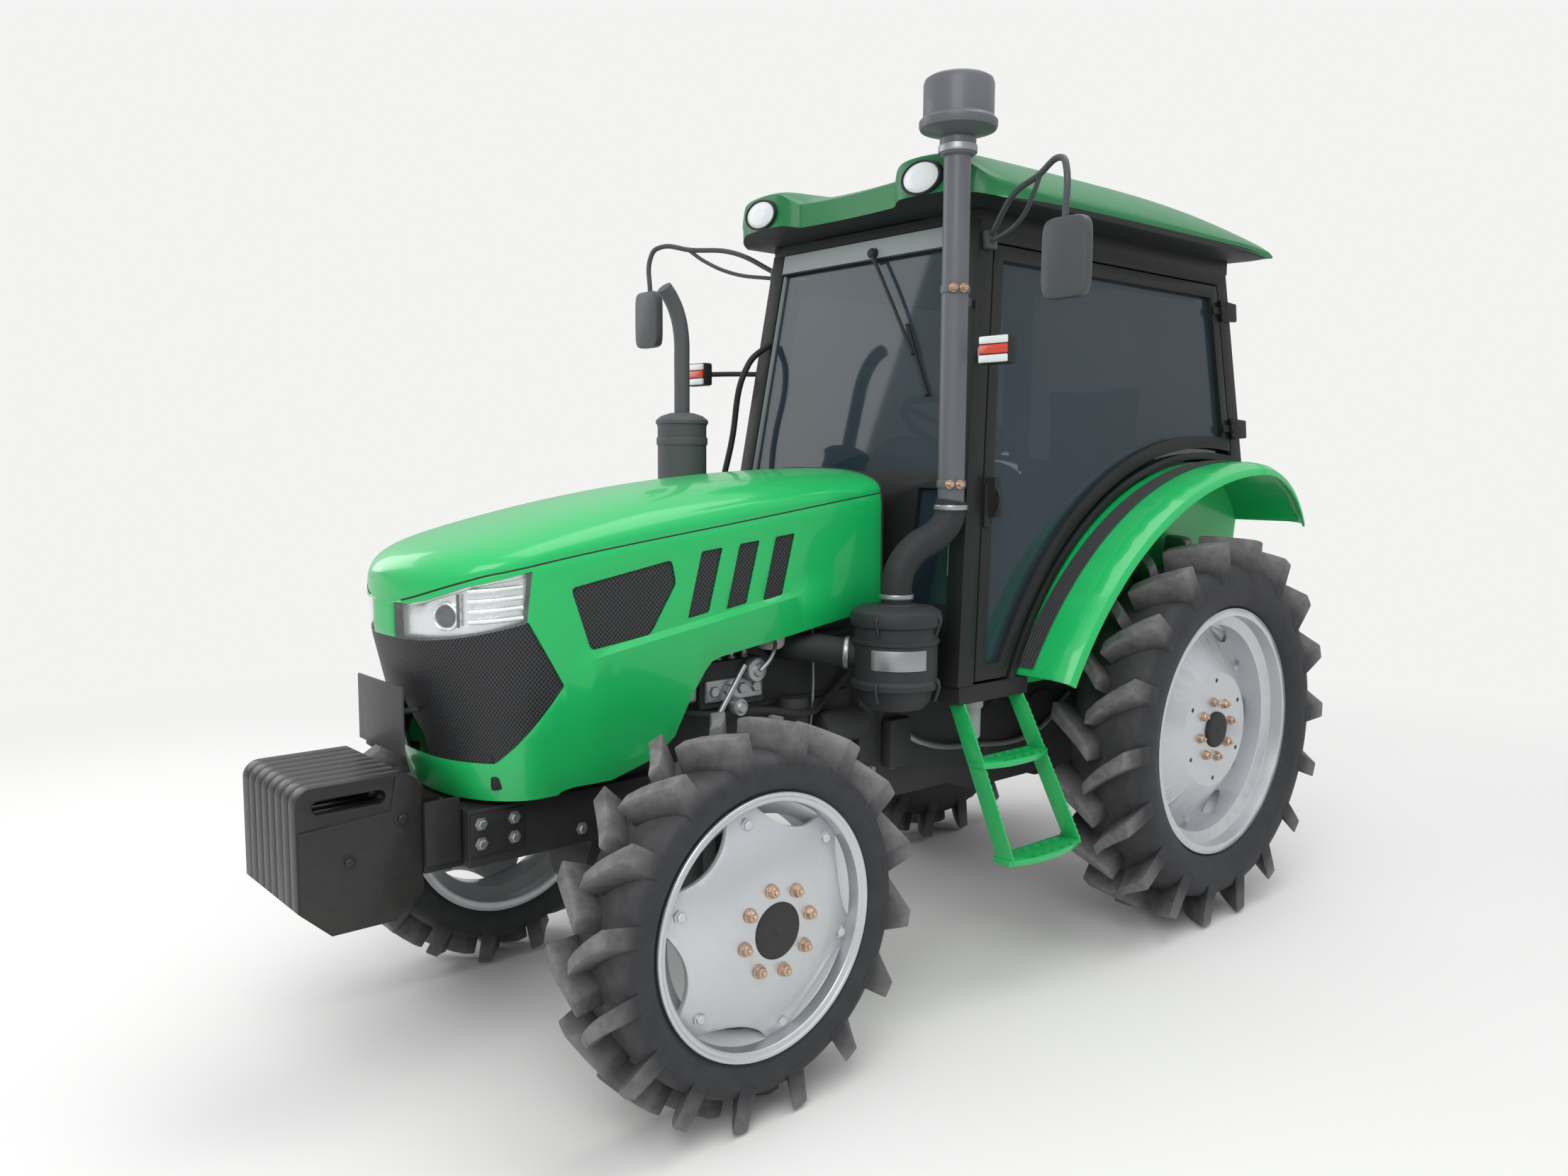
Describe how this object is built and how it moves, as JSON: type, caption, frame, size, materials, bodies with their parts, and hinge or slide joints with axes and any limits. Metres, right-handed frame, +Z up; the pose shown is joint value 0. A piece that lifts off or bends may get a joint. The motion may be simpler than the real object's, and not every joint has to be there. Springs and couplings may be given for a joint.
{
  "type": "farm tractor",
  "caption": "Four-wheel-drive farm tractor with a closed glazed cab, rounded green hood, tall-lug tyres, front weights and a rear lifting linkage.",
  "frame": {"origin": "on the ground, under the middle of the plan box", "axes": "+X forward, +Y to the driver's left, +Z up"},
  "size_m": [3.92, 2.052, 2.71],
  "materials": {
    "green_paint": "semi-gloss",
    "roof_green": "semi-gloss",
    "black_paint": "satin",
    "cast_grey": "matte",
    "weight_black": "matte",
    "tyre_rubber": "matte",
    "rim_silver": "semi-gloss",
    "dark_plastic": "matte",
    "lamp_clear": "gloss",
    "stack_grey": "matte",
    "cab_window": "gloss",
    "seat_cover": "matte",
    "link_steel": "satin"
  },
  "bodies": {
    "chassis": {"engine": "cast_grey", "transmission": "cast_grey", "rear_axle": "cast_grey", "front_frame": "black_paint", "front_axle": "cast_grey", "weights": "weight_black", "weight_carrier": "black_paint", "fuel_tank": "dark_plastic", "air_cleaner": "stack_grey", "intake_stack": "stack_grey", "exhaust": "stack_grey", "cab_floor": "black_paint", "cab_frame": "black_paint", "cab_glass": "cab_window", "roof": "roof_green", "lamps": "lamp_clear", "fenders": "green_paint", "steps": "green_paint", "mirrors": "dark_plastic", "seat_base": "black_paint", "seat": "seat_cover", "dashboard": "dark_plastic", "drawbar": "link_steel"},
    "hood": {"hood_shell": "green_paint", "hood_grille": "dark_plastic", "hood_lamps": "lamp_clear"},
    "left_door": {"left_door_frame": "black_paint", "left_door_glass": "cab_window"},
    "right_door": {"right_door_frame": "black_paint", "right_door_glass": "cab_window"},
    "left_knuckle": {"left_knuckle": "cast_grey"},
    "right_knuckle": {"right_knuckle": "cast_grey"},
    "tie_rod": {"tie_rod": "link_steel"},
    "front_left_wheel": {"front_left_tyre": "tyre_rubber", "front_left_rim": "rim_silver"},
    "front_right_wheel": {"front_right_tyre": "tyre_rubber", "front_right_rim": "rim_silver"},
    "rear_left_wheel": {"rear_left_tyre": "tyre_rubber", "rear_left_rim": "rim_silver"},
    "rear_right_wheel": {"rear_right_tyre": "tyre_rubber", "rear_right_rim": "rim_silver"},
    "steering_wheel": {"steering_wheel": "dark_plastic"},
    "lower_links": {"lower_links": "link_steel"},
    "lift_arms": {"lift_arms": "link_steel"},
    "lift_rods": {"lift_rods": "link_steel"},
    "top_link": {"top_link": "link_steel"}
  },
  "joints": [
    {"name": "hood_lift", "type": "hinge", "parent": "chassis", "child": "hood", "pos_m": [0.27, 0, 1.545], "axis": [0, -1, 0], "range_deg": [0, 50]},
    {"name": "left_door_swing", "type": "hinge", "parent": "chassis", "child": "left_door", "pos_m": [-1.43556, 0.5394, 1.75854], "axis": [0.1022, -0.0815, 0.9914], "range_deg": [0, 75]},
    {"name": "right_door_swing", "type": "hinge", "parent": "chassis", "child": "right_door", "pos_m": [-1.43556, -0.5394, 1.75854], "axis": [-0.1022, -0.0815, -0.9914], "range_deg": [0, 75]},
    {"name": "left_steer", "type": "hinge", "parent": "chassis", "child": "left_knuckle", "pos_m": [1.04, 0.505, 0.5], "axis": [0, 0, 1], "range_deg": [-35, 35]},
    {"name": "right_steer", "type": "hinge", "parent": "chassis", "child": "right_knuckle", "pos_m": [1.04, -0.505, 0.5], "axis": [0, 0, 1], "range_deg": [-35, 35]},
    {"name": "tie_rod_shift", "type": "slide", "parent": "chassis", "child": "tie_rod", "axis": [0, -1, 0], "range_m": [-0.09514, 0.09514]},
    {"name": "front_left_spin", "type": "hinge", "parent": "left_knuckle", "child": "front_left_wheel", "pos_m": [1.04, 0.655, 0.5], "axis": [0, 1, 0], "continuous": true},
    {"name": "front_right_spin", "type": "hinge", "parent": "right_knuckle", "child": "front_right_wheel", "pos_m": [1.04, -0.655, 0.5], "axis": [0, 1, 0], "continuous": true},
    {"name": "rear_left_spin", "type": "hinge", "parent": "chassis", "child": "rear_left_wheel", "pos_m": [-1.06, 0.655, 0.685], "axis": [0, 1, 0], "continuous": true},
    {"name": "rear_right_spin", "type": "hinge", "parent": "chassis", "child": "rear_right_wheel", "pos_m": [-1.06, -0.655, 0.685], "axis": [0, 1, 0], "continuous": true},
    {"name": "steering_wheel_turn", "type": "hinge", "parent": "chassis", "child": "steering_wheel", "pos_m": [-0.46, 0, 1.75], "axis": [-0.5, 0, 0.866], "range_deg": [-420, 420]},
    {"name": "hitch_lift", "type": "hinge", "parent": "chassis", "child": "lower_links", "pos_m": [-1.17, 0, 0.47], "axis": [0, 1, 0], "range_deg": [-15, 25]},
    {"name": "lift_arm_turn", "type": "hinge", "parent": "chassis", "child": "lift_arms", "pos_m": [-1.23, 0, 0.96], "axis": [0, 1, 0], "range_deg": [-15, 25]},
    {"name": "lift_rod_swing", "type": "hinge", "parent": "lift_arms", "child": "lift_rods", "pos_m": [-1.65, 0, 0.96], "axis": [0, 1, 0], "range_deg": [-25, 15]},
    {"name": "top_link_swing", "type": "hinge", "parent": "chassis", "child": "top_link", "pos_m": [-1.33, 0, 0.85], "axis": [0, 1, 0], "range_deg": [-20, 25]}
  ],
  "couplings": [
    {"joint": "right_steer", "follows": "left_steer", "ratio": 1},
    {"joint": "tie_rod_shift", "follows": "left_steer", "m_per_rad": 0.15493},
    {"joint": "steering_wheel_turn", "follows": "left_steer", "ratio": 12},
    {"joint": "lift_arm_turn", "follows": "hitch_lift", "ratio": 1},
    {"joint": "lift_rod_swing", "follows": "hitch_lift", "ratio": -1}
  ]
}
